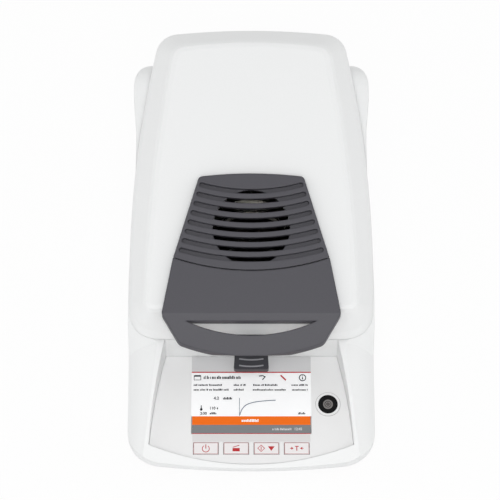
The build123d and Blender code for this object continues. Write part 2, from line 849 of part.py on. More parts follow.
def turned(points):
    """A solid of revolution about the chamber's axis, from points given as radius and height."""
    with BuildPart() as piece:
        with BuildSketch(chamber_plane):
            with BuildLine():
                Polyline(points, close=True)
            make_face()
        revolve(axis=Axis((*chamber, 0), (0, 0, 1)))
    return piece


post_hole = post_radius + post_gap
save(turned([
    (post_hole, dish_floor), (dish_radius, dish_floor), (dish_radius, deck_top), (dish_flange, deck_top),
    (dish_flange, deck_top + sheet), (dish_radius - sheet, deck_top + sheet),
    (dish_radius - sheet, dish_floor + sheet), (post_hole, dish_floor + sheet),
]), "chamber_dish")

shield_top = handler_bottom - seat_gap
save(turned([
    (shield_inner, dish_floor + sheet), (shield_outer, dish_floor + sheet),
    (shield_outer, shield_top), (shield_inner, shield_top),
]), "draft_shield")

handler_top = handler_bottom + handler_thickness
save(turned([
    (0, handler_top - pan_depth + pan_wall), (pan_radius - pan_wall, handler_top - pan_depth + pan_wall),
    (pan_radius - pan_wall, handler_top + pan_wall), (pan_rim_radius, handler_top + pan_wall),
    (pan_rim_radius, handler_top), (pan_radius, handler_top), (pan_radius, handler_top - pan_depth),
    (0, handler_top - pan_depth),
]), "sample_pan")

with BuildPart() as pan_handler:
    with BuildSketch(Plane.XY.offset(handler_bottom)):
        with Locations(chamber):
            Circle(handler_outer)
        with Locations((0, y(grip_rear))):
            Rectangle(grip_width * 0.8, chamber_from_front - grip_rear, align=(Align.CENTER, Align.MIN))
        with Locations(chamber):
            Circle(handler_inner, mode=Mode.SUBTRACT)
    extrude(amount=handler_thickness)
    with BuildSketch(Plane.XY.offset(handler_top - grip_height)):
        with BuildLine():
            grip_half = grip_width / 2
            rear_left = (grip_taper - grip_half, y(grip_rear))
            rear_right = (grip_half - grip_taper, y(grip_rear))
            Polyline(rear_left, (-grip_half, y(grip_front)), (grip_half, y(grip_front)), rear_right, close=True)
        grip = make_face()
        fillet(grip.vertices().group_by(Axis.Y)[0], grip_corner)
    extrude(amount=grip_height)
save(pan_handler, "pan_handler")

support_top = handler_top - pan_depth - seat_gap
with BuildPart() as pan_support:
    with BuildSketch(Plane.XY.offset(support_top - 2 * sheet)):
        with Locations(chamber):
            Circle(2 * post_radius)
            with PolarLocations(support_radius / 2, 3, start_angle=90):
                Rectangle(support_radius, support_arm)
    extrude(amount=2 * sheet)
save(pan_support, "pan_support")

post_bottom = cell_top + weigh_travel + 0.1
with BuildPart() as weigh_post:
    with Locations((*chamber, post_bottom)):
        Cylinder(
            post_radius, support_top - 2 * sheet - post_bottom, align=(Align.CENTER, Align.CENTER, Align.MIN)
        )
save(weigh_post, "weigh_post")

# Weigh cell: a bending beam fixed at its rear on a bracket, free under the chamber
cell_bottom = cell_top - cell_height
cell_rear = cell_front + cell_length
with BuildPart() as weigh_cell:
    with Locations((0, y(cell_front), cell_bottom)):
        Box(cell_width, cell_length, cell_height, align=(Align.CENTER, Align.MIN, Align.MIN))
    with BuildSketch(Plane.YZ):
        with Locations((y(cell_front + cell_length / 2), cell_bottom + cell_height / 2)):
            SlotCenterToCenter(cell_length / 2, cell_height * 0.7)
    extrude(amount=cell_width, both=True, mode=Mode.SUBTRACT)
save(weigh_cell, "weigh_cell")

with BuildPart() as cell_bracket:
    with Locations((0, y(cell_rear), floor_top)):
        Box(
            cell_width + 2 * wall, bracket_length, cell_bottom - floor_top,
            align=(Align.CENTER, Align.MAX, Align.MIN),
        )
save(cell_bracket, "cell_bracket")


# Circuit boards with their larger components, each on four standoffs of the tray
def circuit_board(x, centre_y, width, length, holes, blocks):
    with BuildPart() as piece:
        with Locations((x, centre_y, board_top)):
            Box(width, length, board, align=(Align.CENTER, Align.CENTER, Align.MIN))
        for block_x, block_y, block_width, block_length, block_height in blocks:
            with Locations((x + block_x, centre_y + block_y, board_top + board)):
                Box(block_width, block_length, block_height, align=(Align.CENTER, Align.CENTER, Align.MIN))
        with Locations(*[(hole_x, hole_y, board_top) for hole_x, hole_y in holes]):
            Cylinder(screw_radius, 4 * board, mode=Mode.SUBTRACT)
    return piece


main_blocks = [(0, 20, 24, 24, 3), (-14, -20, 12, 18, 4), (14, -24, 14, 10, 6), (16, 46, 16, 8, 8)]
supply_blocks = [(-10, 10, 30, 34, 26), (18, 30, 14, 14, 22), (18, -14, 10, 30, 18), (-12, -44, 24, 16, 14)]
save(
    circuit_board(
        main_board_x, main_board_y, main_board_width, main_board_length, main_board_holes, main_blocks
    ),
    "main_board",
)
save(
    circuit_board(supply_x, supply_y, supply_width, supply_length, supply_holes, supply_blocks),
    "power_supply",
)

with BuildPart() as board_screws:
    with Locations(*[(x, hole_y, board_top + board) for x, hole_y in main_board_holes + supply_holes]):
        Cylinder(2 * screw_radius, screw_radius, align=(Align.CENTER, Align.CENTER, Align.MIN))
        Cylinder(
            screw_radius - pin_clearance, board, align=(Align.CENTER, Align.CENTER, Align.MAX)
        )
save(board_screws, "board_screws")

# Cooling fan on the rear wall
fan_y = y(base_rear - wall - fan_depth)
fan_plane = Plane(origin=(fan_x, fan_y, fan_height), x_dir=(1, 0, 0), z_dir=(0, 1, 0))
duct_radius = fan_size / 2 - 1
with BuildPart() as fan_frame:
    with BuildSketch(fan_plane):
        RectangleRounded(fan_size, fan_size, wall)
        Circle(duct_radius, mode=Mode.SUBTRACT)
    extrude(amount=fan_depth)
    with BuildSketch(fan_plane):
        Circle(fan_hub_radius)
        with PolarLocations(duct_radius - wall, 3):
            Rectangle(duct_radius, wall)
        Circle(screw_radius, mode=Mode.SUBTRACT)
    extrude(amount=sheet)
save(fan_frame, "fan_frame")

with BuildPart() as fan_rotor:
    with BuildSketch(fan_plane.offset(sheet + seat_gap)):
        Circle(fan_hub_radius)
    extrude(amount=fan_depth - 2 * sheet)
    with BuildSketch(fan_plane.offset(2 * sheet)):
        with PolarLocations((fan_hub_radius + duct_radius - fan_tip_gap - 1) / 2, fan_blades):
            Rectangle(duct_radius - fan_tip_gap - fan_hub_radius + 1, sheet * 1.5, rotation=35)
    extrude(amount=fan_depth - 4 * sheet)
    with BuildSketch(fan_plane):
        Circle(screw_radius - pin_clearance)
    extrude(amount=2 * sheet)
save(fan_rotor, "fan_rotor")

# Rear connectors on their plate
plate_y = y(base_rear) - connector_recess
with BuildPart() as connector_plate:
    with Locations((connector_x, plate_y, connector_height)):
        Box(
            connector_width - 2 * seat_gap, connector_recess, connector_tall - 2 * seat_gap,
            align=(Align.CENTER, Align.MIN, Align.CENTER),
        )
    for x, centre_height, width, height in connectors.values():
        with Locations((x, plate_y, centre_height)):
            Box(width, 4 * connector_recess, height, mode=Mode.SUBTRACT)
save(connector_plate, "connector_plate")

for name, (x, centre_height, width, height) in connectors.items():
    with BuildPart() as connector:
        with Locations((x, plate_y + connector_recess, centre_height)):
            Box(
                width, connector_depth[name], height, align=(Align.CENTER, Align.MAX, Align.CENTER)
            )
        with Locations((x, plate_y + connector_recess, centre_height)):
            Box(
                width - 2 * socket_wall, 2 * (connector_depth[name] - 2 * socket_wall),
                height - 2 * socket_wall, mode=Mode.SUBTRACT,
            )
    save(connector, name)

# Hinge: a steel pin pressed into each ear, turning in a bush in the lid's skirt
bush_length = lid_skirt_half - pin_inner_half
for side_name, side in (("left", -1), ("right", 1)):
    with BuildPart() as hinge_pin:
        pin_length = ear_inner_half + boss_length - pin_inner_half
        with Locations((side * (pin_inner_half + pin_length / 2), *hinge_axis)):
            Cylinder(pin_radius, pin_length, rotation=(0, 90, 0))
    save(hinge_pin, f"hinge_pin_{side_name}")

    with BuildPart() as hinge_bush:
        with Locations((side * (pin_inner_half + bush_length / 2), *hinge_axis)):
            Cylinder(bush_radius, bush_length, rotation=(0, 90, 0))
        with Locations((side * (pin_inner_half + (bush_length - lid_wall) / 2), *hinge_axis)):
            Cylinder(bush_flange_radius, bush_length - lid_wall, rotation=(0, 90, 0))
        with Locations((0, *hinge_axis)):
            Cylinder(pin_radius + pin_clearance, big, rotation=(0, 90, 0), mode=Mode.SUBTRACT)
    save(hinge_bush, f"hinge_bush_{side_name}")

# Heater in the lid: sheet-metal box, glass and its ring, reflector, ring lamp, holders and sensor
with BuildPart() as heater_box:
    with BuildSketch(Plane.XY.offset(box_bottom)):
        with Locations((0, y((box_front + box_rear) / 2))):
            RectangleRounded(2 * box_half, box_rear - box_front, box_corner)
    extrude(amount=lid_crease_height)
    with BuildSketch(Plane.XY.offset(box_bottom + box_sheet)):
        with Locations((0, y((box_front + box_rear) / 2))):
            RectangleRounded(
                2 * (box_half - box_sheet), box_rear - box_front - 2 * box_sheet, box_corner - box_sheet
            )
    extrude(amount=lid_crease_height, mode=Mode.SUBTRACT)
    with Locations((*chamber, box_bottom)):
        Cylinder(glass_hole, 4 * box_sheet, mode=Mode.SUBTRACT)
    with Locations((0, y(sensor_from_front), box_bottom)):
        Cylinder(sensor_radius, 4 * box_sheet, mode=Mode.SUBTRACT)
    split(bisect_by=lid_plane.offset(-lid_wall), keep=Keep.BOTTOM)
save(heater_box, "heater_box")

glass_bottom = box_bottom + box_sheet
glass_top = glass_bottom + heat_glass
save(turned([
    (0, glass_bottom), (glass_radius, glass_bottom), (glass_radius, glass_top), (0, glass_top)
]), "heat_glass")

save(turned([
    (glass_radius + pin_clearance, glass_bottom), (glass_radius + wall, glass_bottom),
    (glass_radius + wall, glass_top + sheet), (glass_hole, glass_top + sheet),
    (glass_hole, glass_top), (glass_radius + pin_clearance, glass_top),
]), "glass_ring")

reflector_bottom = glass_top + sheet
reflector_inner = glass_hole + 2 * sheet
save(turned([
    (reflector_inner, reflector_bottom), (reflector_inner + sheet, reflector_bottom),
    (reflector_inner + sheet, reflector_shoulder), (vent_radius + sheet, reflector_top),
    (vent_radius + sheet, reflector_top + 2 * sheet), (vent_radius, reflector_top + 2 * sheet),
    (vent_radius, reflector_top - sheet), (reflector_inner, reflector_shoulder - sheet),
]), "reflector")

with BuildPart() as ring_lamp:
    with BuildSketch(chamber_plane):
        with Locations((lamp_ring_radius, lamp_height)):
            Circle(lamp_tube_radius)
    revolve(axis=Axis((*chamber, 0), (0, 0, 1)), revolution_arc=lamp_arc)
save(ring_lamp, "ring_lamp")

with BuildPart() as temperature_sensor:
    with Locations((0, y(sensor_from_front), box_bottom - 2 * sheet)):
        Cylinder(sensor_radius - pin_clearance, sensor_length, align=(Align.CENTER, Align.CENTER, Align.MIN))
    with Locations((0, y(sensor_from_front), glass_bottom)):
        Cylinder(2 * sensor_radius, 2 * sheet, align=(Align.CENTER, Align.CENTER, Align.MIN))
save(temperature_sensor, "temperature_sensor")


# Dark cover on the lid, drawn on the lid's slope: the louvred grille and the handle in front of it
def seam_arc(gap):
    """The curved seam between the handle and the grille, on the lid's top face."""
    left = on_slope(-cover_half_seam, cover_seam + gap)
    right = on_slope(cover_half_seam, cover_seam + gap)
    return ThreePointArc(left, on_slope(0, cover_seam - cover_seam_sag + gap), right)


slot_arcs = []
for index in range(slot_count):
    half = slot_half_first + index * slot_half_step
    slot_end = slot_first - index * slot_pitch
    radius = slot_radius_first + index * slot_radius_step
    sag = radius - sqrt(radius**2 - half**2)
    slot_arcs.append(
        ThreePointArc(on_slope(-half, slot_end), on_slope(0, slot_end - sag), on_slope(half, slot_end))
    )

with BuildSketch() as slots:
    for arc in slot_arcs:
        SlotArc(arc, slot_width)

with BuildSketch() as vent_slots:
    with Locations(on_slope(0, chamber_from_front)):
        Circle(vent_radius)
    add(slots.sketch, mode=Mode.INTERSECT)

with BuildPart() as louvre_grille:
    with BuildSketch(lid_plane) as plate:
        with BuildLine():
            rear_left = on_slope(-cover_half_rear, cover_rear)
            rear_right = on_slope(cover_half_rear, cover_rear)
            ThreePointArc(rear_left, on_slope(0, cover_rear + cover_rear_bulge), rear_right)
            arc = seam_arc(cover_gap / 2)
            Line(rear_right, arc @ 1)
            Line(arc @ 0, rear_left)
        make_face()
        fillet(plate.vertices().group_by(Axis.Y)[-1], cover_edge)
    extrude(amount=cover_rise)
    with BuildSketch(lid_plane.offset(cover_rise)):
        add(slots.sketch)
    extrude(amount=-slot_depth, mode=Mode.SUBTRACT)
    with BuildSketch(lid_plane.offset(cover_rise)):
        add(vent_slots.sketch)
    extrude(amount=-cover_rise, mode=Mode.SUBTRACT)
    with BuildSketch(lid_plane):
        with Locations(*[on_slope(*place) for place in grille_screws]):
            Circle(screw_radius)
    extrude(amount=screw_bite, mode=Mode.SUBTRACT)
save(louvre_grille, "louvre_grille")

# The handle's apron slopes down and forward from the fold, and its finger slot shows the lid behind it.
cover_lift = cover_rise / cos(tilt)
fold_height = lid_z(fold_from_front) + cover_lift
apron_run = fold_from_front - apron_front
apron_fall = fold_height - apron_bottom
apron_face = hypot(apron_run, apron_fall)
back_step = apron_thickness * apron_fall / apron_face
down_step = apron_thickness * apron_run / apron_face
apron_slope = apron_fall / apron_run
inner_front = apron_front + back_step
inner_bottom = apron_bottom - down_step
meet = (lid_z(0) - inner_bottom + inner_front * apron_slope) / (apron_slope - tan(tilt))
handle_profile = [
    (cover_seam + cover_edge, lid_z(cover_seam + cover_edge)),
    (meet, lid_z(meet)),
    (inner_front, inner_bottom),
    (apron_front, apron_bottom),
    (fold_from_front, fold_height),
    (cover_seam + cover_edge, lid_z(cover_seam + cover_edge) + cover_lift),
]

with BuildPart() as handle_cover:
    extrude(side_view(handle_profile), amount=base_half, both=True)
    with BuildSketch(Plane.XY) as footprint:
        with BuildLine():
            rear_right = (cover_half_seam, y(cover_seam + cover_edge))
            seam_right = (cover_half_seam, y(cover_seam))
            fold_right = (cover_half_fold, y(fold_from_front))
            apron_right = (apron_corner_half, y(apron_corner_from_front))
            edge = Polyline(rear_right, seam_right, fold_right, apron_right)
            mirror(edge, about=Plane.YZ)
            Line(rear_right, (-cover_half_seam, y(cover_seam + cover_edge)))
            ThreePointArc(apron_right, (0, y(apron_front)), (-apron_corner_half, y(apron_corner_from_front)))
        make_face()
        fillet(footprint.vertices().group_by(Axis.Y)[0], 2 * cover_edge)
        fold_y = y(fold_from_front)
        folds = footprint.vertices().filter_by_position(Axis.Y, fold_y - cover_gap, fold_y + cover_gap)
        fillet(folds, cover_edge)
    extrude(amount=2 * lid_crease_height, mode=Mode.INTERSECT)
    with BuildSketch(lid_plane):
        with BuildLine():
            arc = seam_arc(-cover_gap / 2)
            behind = along_slope(cover_rear)
            Polyline(arc @ 1, (base_half, along_slope(cover_seam)), (base_half, behind), (-base_half, behind))
            Polyline((-base_half, behind), (-base_half, along_slope(cover_seam)), arc @ 0)
        make_face()
    extrude(amount=2 * cover_rise, both=True, mode=Mode.SUBTRACT)
    with BuildSketch(Plane.XY):
        with BuildLine():
            slot_left = (-finger_half, y(finger_top))
            slot_right = (finger_half, y(finger_top))
            Line(slot_left, slot_right)
            ThreePointArc(slot_right, (0, y(finger_top - finger_sag)), slot_left)
        make_face()
    extrude(amount=2 * lid_crease_height, mode=Mode.SUBTRACT)
    with BuildSketch(lid_plane):
        with Locations(*[on_slope(*place) for place in handle_screws]):
            Circle(screw_radius)
    extrude(amount=screw_bite, mode=Mode.SUBTRACT)
save(handle_cover, "handle_cover")

# Rubber buffers on the deck that the closed lid comes down on
with BuildPart() as lid_buffers:
    with Locations(*[(side * buffer_x, y(buffer_from_front), deck_top) for side in (-1, 1)]):
        Cylinder(
            buffer_radius, box_bottom - seat_gap - deck_top, align=(Align.CENTER, Align.CENTER, Align.MIN)
        )
    fillet(lid_buffers.edges().group_by(Axis.Z)[-1], buffer_radius / 3)
save(lid_buffers, "lid_buffers")

# Screws under the lid's top that hold the two covers
with BuildPart() as cover_screws:
    with BuildSketch(lid_plane.offset(-lid_wall - screw_radius)):
        with Locations(*[on_slope(*place) for place in grille_screws + handle_screws]):
            Circle(cover_head_radius)
    extrude(amount=screw_radius)
    with BuildSketch(lid_plane.offset(-lid_wall)):
        with Locations(*[on_slope(*place) for place in grille_screws + handle_screws]):
            Circle(screw_radius - pin_clearance)
    extrude(amount=lid_wall + screw_bite - seat_gap)
save(cover_screws, "cover_screws")

# Screws that hold the tray to the upper housing's posts
with BuildPart() as housing_screws:
    with Locations(*[(x, y(from_front), underside) for x, from_front in housing_posts]):
        Cylinder(2 * screw_radius, head_height, align=(Align.CENTER, Align.CENTER, Align.MIN))
        Cylinder(
            screw_radius - pin_clearance, housing_screw_length, align=(Align.CENTER, Align.CENTER, Align.MIN)
        )
save(housing_screws, "housing_screws")

# Ceramic holders at the two ends of the ring lamp, standing on the glass ring
with BuildPart() as lamp_holders:
    holder_width = glass_hole + sheet - lamp_ring_radius + lamp_tube_radius
    for end_angle, turn in ((0, -1), (lamp_arc, 1)):
        with Locations(Location((*chamber, reflector_bottom), (0, 0, end_angle))):
            with Locations((lamp_ring_radius - lamp_tube_radius, 0)):
                Box(
                    holder_width, holder_length, holder_height,
                    align=(Align.MIN, Align.MAX if turn < 0 else Align.MIN, Align.MIN),
                )
save(lamp_holders, "lamp_holders")

# Lid magnet on the heater box, and the switch under the deck that it closes
with BuildPart() as lid_magnet:
    with Locations((magnet_x, y(magnet_from_front), glass_bottom)):
        Cylinder(2 * sensor_radius, 2 * sheet, align=(Align.CENTER, Align.CENTER, Align.MIN))
save(lid_magnet, "lid_magnet")

with BuildPart() as lid_switch:
    with Locations((magnet_x, y(magnet_from_front), deck_under)):
        Box(cell_width / 2, holder_length, 2 * sheet, align=(Align.CENTER, Align.CENTER, Align.MAX))
save(lid_switch, "lid_switch")
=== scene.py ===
# %% [markdown]
# # A bench moisture analyzer
# The instrument dries a small sample under a ring lamp while a balance weighs it. Its rigid parts come from
# the CAD frame at their real size. This notebook gives each part its finish, adds the printed and lit
# details that are too thin for the frame, and sets up a plain studio around it.

# %% Load the frame
import json
import math
import random

import bmesh
import bpy
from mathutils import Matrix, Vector


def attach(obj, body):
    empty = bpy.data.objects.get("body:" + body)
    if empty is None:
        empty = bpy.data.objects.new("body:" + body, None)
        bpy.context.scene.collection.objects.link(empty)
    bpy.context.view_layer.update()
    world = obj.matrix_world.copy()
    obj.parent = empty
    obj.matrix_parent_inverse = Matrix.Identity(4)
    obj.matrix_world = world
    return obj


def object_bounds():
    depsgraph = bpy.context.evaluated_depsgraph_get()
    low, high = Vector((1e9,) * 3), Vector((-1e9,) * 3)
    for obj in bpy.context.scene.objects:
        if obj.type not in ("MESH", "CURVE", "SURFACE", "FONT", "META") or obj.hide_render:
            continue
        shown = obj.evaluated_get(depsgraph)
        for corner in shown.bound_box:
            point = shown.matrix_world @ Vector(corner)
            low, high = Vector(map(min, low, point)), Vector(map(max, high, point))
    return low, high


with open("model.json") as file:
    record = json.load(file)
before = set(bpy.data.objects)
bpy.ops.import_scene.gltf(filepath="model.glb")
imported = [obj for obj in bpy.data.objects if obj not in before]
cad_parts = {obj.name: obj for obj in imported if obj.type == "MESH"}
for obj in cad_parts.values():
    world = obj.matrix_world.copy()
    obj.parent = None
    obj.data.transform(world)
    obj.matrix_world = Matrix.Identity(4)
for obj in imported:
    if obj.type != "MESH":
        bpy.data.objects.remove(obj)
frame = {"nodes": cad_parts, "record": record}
cad_box = [[float(value) for value in corner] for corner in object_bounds()]

# %% [markdown]
# ## Colours and nodes
# Colours are easiest to read as the hex values a designer would note down, but shaders work in linear
# light, so one function turns one into the other. A second small function adds a node with its settings
# and its inputs, whether an input is a value or a link.

# %% Colour and node helpers
MM = 0.001


def linear(hex_text):
    channels = [int(hex_text[i:i + 2], 16) / 255 for i in (1, 3, 5)]
    return [c / 12.92 if c <= 0.04045 else ((c + 0.055) / 1.055) ** 2.4 for c in channels] + [1.0]


def add_node(tree, kind, inputs=None, **settings):
    node = tree.nodes.new(kind)
    for key, value in settings.items():
        setattr(node, key, value)
    for name, value in (inputs or {}).items():
        if isinstance(value, bpy.types.NodeSocket):
            tree.links.new(value, node.inputs[name])
        else:
            node.inputs[name].default_value = value
    return node


print("a mid grey in linear light:", round(linear("#808080")[0], 3))

# %% [markdown]
# ## One recipe for a finished surface
# Even a plain moulded cover isn't one flat colour: it has a fine texture from its mould, slight shifts of
# tone, and uneven gloss. One noise pattern, scaled from a real size in millimetres, drives all three. A
# stretched pattern gives the fine parallel lines of brushed sheet or of a turned pin.

# %% Surface recipe
COLOUR_A, COLOUR_B, MIXED_COLOUR = 6, 7, 2


def finish(name, colour, shade, roughness, pattern_mm=1.0, depth_mm=0.01, stretch=(1, 1, 1),
           gloss_swing=0.05, edge_mm=0.0, **shader_inputs):
    material = bpy.data.materials.new(name)
    material.use_nodes = True
    tree = material.node_tree
    tree.nodes.clear()
    place = add_node(tree, "ShaderNodeTexCoord")
    scale = [1 / (pattern_mm * MM * s) for s in stretch]
    mapped = add_node(tree, "ShaderNodeMapping", {"Vector": place.outputs["Object"], "Scale": scale})
    noise = add_node(tree, "ShaderNodeTexNoise", {
        "Vector": mapped.outputs["Vector"], "Scale": 1.0, "Detail": 3.0, "Roughness": 0.55})
    tint = add_node(tree, "ShaderNodeMix", {
        "Factor": noise.outputs["Fac"],
        COLOUR_A: linear(colour), COLOUR_B: linear(shade)}, data_type="RGBA")
    gloss = add_node(tree, "ShaderNodeMapRange", {
        "Value": noise.outputs["Fac"],
        "To Min": max(roughness - gloss_swing, 0.0), "To Max": roughness + gloss_swing})
    relief = add_node(tree, "ShaderNodeBump", {
        "Height": noise.outputs["Fac"], "Distance": depth_mm * MM, "Strength": 1.0})
    if edge_mm:
        rounded = add_node(tree, "ShaderNodeBevel", {"Radius": edge_mm * MM}, samples=4)
        tree.links.new(rounded.outputs["Normal"], relief.inputs["Normal"])
    shader = add_node(tree, "ShaderNodeBsdfPrincipled", {
        "Base Color": tint.outputs[MIXED_COLOUR], "Roughness": gloss.outputs["Result"],
        "Normal": relief.outputs["Normal"],
        **{key.replace("_", " "): value for key, value in shader_inputs.items()}})
    add_node(tree, "ShaderNodeOutputMaterial", {"Surface": shader.outputs["BSDF"]})
    return material


print("mix node inputs:", COLOUR_A, COLOUR_B, "and output:", MIXED_COLOUR)

# %% [markdown]
# ## Plastics
# The housings are moulded ABS with a fine spark-eroded texture: matt from afar, with a soft sheen where the
# surface turns. The real grit is about 0.1 mm, which would vanish in the render, so it is drawn near 1 mm
# and kept very shallow. The cover over the heater is a dark polyamide, which stands more heat than ABS.

# %% Plastic finishes
white_abs = finish(
    "white moulded ABS", "#F1F2F2", "#EDEEEE", 0.42, pattern_mm=1.1, depth_mm=0.004, edge_mm=1.2)
charcoal_polyamide = finish(
    "charcoal moulded polyamide", "#4B4A51", "#45444A", 0.46, pattern_mm=0.9, depth_mm=0.012, edge_mm=1.5)
handler_polyamide = finish(
    "dark grey handler polyamide", "#45454A", "#3E3E43", 0.48, pattern_mm=0.9, depth_mm=0.012, edge_mm=0.5)
keypad_film = finish("printed polyester film", "#F2F2F2", "#EFEFEF", 0.36, pattern_mm=0.8, depth_mm=0.003)
key_caps = finish("key caps under film", "#F3EFEF", "#F0ECEC", 0.34, pattern_mm=0.8, depth_mm=0.003)
white_acetal = finish("white acetal ring", "#F4F4F4", "#EFEFEF", 0.30, pattern_mm=2.0, depth_mm=0.002)
black_acetal = finish(
    "black acetal cup", "#0C0C0D", "#101011", 0.35, pattern_mm=2.0, depth_mm=0.002, Specular_IOR_Level=0.15)
red_polyamide = finish("red knurled polyamide", "#C3202B", "#B41B26", 0.45, pattern_mm=0.9, depth_mm=0.012)
black_moulding = finish("black moulded housing", "#1B1B1C", "#222223", 0.5, pattern_mm=0.8, depth_mm=0.012)
foot_rubber = finish("nitrile rubber", "#1E1E1E", "#262626", 0.72, pattern_mm=0.6, depth_mm=0.02)
ceramic = finish("unglazed steatite ceramic", "#EDE7DA", "#E2DACA", 0.7, pattern_mm=0.7, depth_mm=0.02)
circuit_laminate = finish(
    "solder-masked laminate", "#14522B", "#0F4423", 0.35, pattern_mm=4.0, depth_mm=0.01)
print("moulded, printed and fired finishes:", len(bpy.data.materials))

# %% [markdown]
# ## Metals and glass
# The chamber is pressed stainless sheet with a brushed grain, drawn as noise stretched forty times along X.
# The pan is bright drawn aluminium foil with soft creases. Turned steel and brass carry rings as fine as
# their tool marks, and the reflector is polished, so its pattern is only a faint haze. The glass under the
# heater is a dark glass ceramic that lets heat through. The display's cover is clear, with an IOR near 1.5,
# and the quartz of the lamp is a little lower. The level's vial is drawn as a smoky, nearly closed glass.

# %% Metal and glass finishes
brushed_sheet = finish(
    "brushed stainless sheet", "#C9C8C5", "#B8B7B4", 0.34, pattern_mm=0.5, depth_mm=0.006,
    stretch=(40, 1, 1), Metallic=1.0)
pan_foil = finish(
    "drawn aluminium foil", "#E4E5E6", "#D6D8DA", 0.28, pattern_mm=7.0, depth_mm=0.15, Metallic=1.0)
milled_aluminium = finish(
    "milled aluminium", "#CDCFD1", "#BDBFC2", 0.36, pattern_mm=0.6, depth_mm=0.006, stretch=(1, 30, 1),
    Metallic=1.0)
turned_steel = finish(
    "turned steel", "#BFBFC0", "#A9A9AB", 0.32, pattern_mm=0.4, depth_mm=0.008, stretch=(1, 1, 20),
    Metallic=1.0)
turned_brass = finish(
    "turned brass", "#D8B45E", "#C39D48", 0.3, pattern_mm=0.4, depth_mm=0.006, stretch=(20, 1, 1),
    Metallic=1.0)
polished_reflector = finish(
    "polished reflector sheet", "#F0EFEA", "#E8E7E2", 0.08, pattern_mm=12.0, depth_mm=0.02, Metallic=1.0)
nickel_plate = finish(
    "nickel plate", "#CFCFD0", "#C6C6C8", 0.2, pattern_mm=2.0, depth_mm=0.003, Metallic=1.0)
window_glass = finish(
    "display cover glass", "#F4F6F6", "#F0F3F3", 0.06, pattern_mm=20.0, depth_mm=0.001, gloss_swing=0.02,
    Transmission_Weight=0.9, IOR=1.5)
heat_glass = finish(
    "dark glass ceramic", "#55504C", "#504B47", 0.05, pattern_mm=20.0, depth_mm=0.001, gloss_swing=0.02,
    Transmission_Weight=0.95, IOR=1.47)
quartz_glass = finish(
    "quartz lamp glass", "#F7F4EE", "#F2EEE6", 0.08, pattern_mm=6.0, depth_mm=0.004, gloss_swing=0.02,
    Transmission_Weight=0.7, IOR=1.46)
vial_glass = finish(
    "spirit vial glass", "#8E8A88", "#827E7C", 0.12, pattern_mm=3.0, depth_mm=0.002, gloss_swing=0.02,
    Transmission_Weight=0.15, IOR=1.5)
bubble_glass = finish(
    "bubble in the vial", "#5D5957", "#524E4C", 0.15, pattern_mm=3.0, depth_mm=0.002, gloss_swing=0.02)
print("with metals and glass:", len(bpy.data.materials))

# %% [markdown]
# ## The lit picture and the printing
# A lit screen gives off a little light of its own and shows hardly any sheen, so its colours stay full. The
# red lines and the pale grey field on the film are screen-printed ink, smooth with a faint unevenness of
# the print. The pale grey ring round the level is painted shadow, made with the same recipe.


# %% Picture and print finishes
def screen_colour(name, colour, shade):
    return finish(
        name, colour, shade, 0.3, pattern_mm=0.6, depth_mm=0.0005, gloss_swing=0.03, Specular_IOR_Level=0.1,
        Emission_Color=linear(colour), Emission_Strength=0.1)


picture_white = screen_colour("picture white", "#FCFCFD", "#F8F9FA")
picture_orange = screen_colour("picture orange", "#F0701E", "#EA6A1A")
picture_grey = screen_colour("picture footer grey", "#808284", "#7A7C7E")
picture_strip = screen_colour("picture upper grey", "#CDCDCE", "#C8C8C9")
picture_dark = screen_colour("picture characters", "#2F3134", "#27292C")
picture_curve = screen_colour("picture curve", "#7F8893", "#77808B")
ink_red = finish("red print", "#C4252C", "#B81F27", 0.38, pattern_mm=0.4, depth_mm=0.001)
ink_line = finish("dull red outline print", "#CDA3A5", "#C6999B", 0.38, pattern_mm=0.4, depth_mm=0.001)
# Painted shadow: the pale grey line round the level's seat stands for the shade at its rim.
painted_shadow_ring = finish("pale shadow line", "#B4B4B5", "#ACACAD", 0.45, pattern_mm=0.4, depth_mm=0.001)
ink_field = finish("pale grey print", "#E2E0E0", "#DEDCDC", 0.38, pattern_mm=0.6, depth_mm=0.001)
print("finishes:", len(bpy.data.materials))

# %% [markdown]
# ## Dressing the frame
# Every part of the frame names its material slot in the record, so one table from slot to finish dresses
# them all, and a missing entry stops the script at once.

# %% Assign the finishes
slot_finish = {
    "white_housing": white_abs, "charcoal_cover": charcoal_polyamide, "handler_grey": handler_polyamide,
    "overlay_film": keypad_film, "display_glass": window_glass, "display_image": picture_dark,
    "key_cap": key_caps, "circuit_board": circuit_laminate, "level_white": white_acetal,
    "level_black": black_acetal, "vial_glass": vial_glass, "stainless_sheet": brushed_sheet,
    "pan_aluminium": pan_foil, "cell_aluminium": milled_aluminium, "steel_parts": turned_steel,
    "brass_bush": turned_brass, "mirror_metal": polished_reflector, "heat_glass": heat_glass,
    "lamp_glass": quartz_glass, "ceramic": ceramic, "magnet_plate": nickel_plate, "foot_red": red_polyamide,
    "foot_rubber": foot_rubber, "black_plastic": black_moulding,
}
for entry in frame["record"]["subparts"]:
    part = frame["nodes"][entry["node"]]
    for slot in part.material_slots:
        slot.material = slot_finish[entry["material_slot"]]
print("slots dressed:", len(slot_finish))

# %% [markdown]
# ## Working on the sloping terminal
# The terminal's panel leans back by 9.8 degrees. Every print on it is laid out flat, in millimetres across
# and up the slope, and one function sets it in place. Each print is a thin closed solid, like a real film
# or ink layer: patches are prisms on an outline, and lines are swept strips.

# %% Placing and building thin pieces
FRONT = cad_box[0][1] / MM
PANEL_SLOPE = math.radians(9.8)
PANEL_START, PANEL_HEIGHT = 3.6, 22.0
PANEL_FRONT = Vector((0.0, FRONT + PANEL_START, PANEL_HEIGHT))
ACROSS = Vector((1, 0, 0))
UP_SLOPE = Vector((0, math.cos(PANEL_SLOPE), math.sin(PANEL_SLOPE)))
OFF_PANEL = Vector((0, -math.sin(PANEL_SLOPE), math.cos(PANEL_SLOPE)))


def on_panel(x, along, height):
    return (PANEL_FRONT + x * ACROSS + along * UP_SLOPE + height * OFF_PANEL) * MM


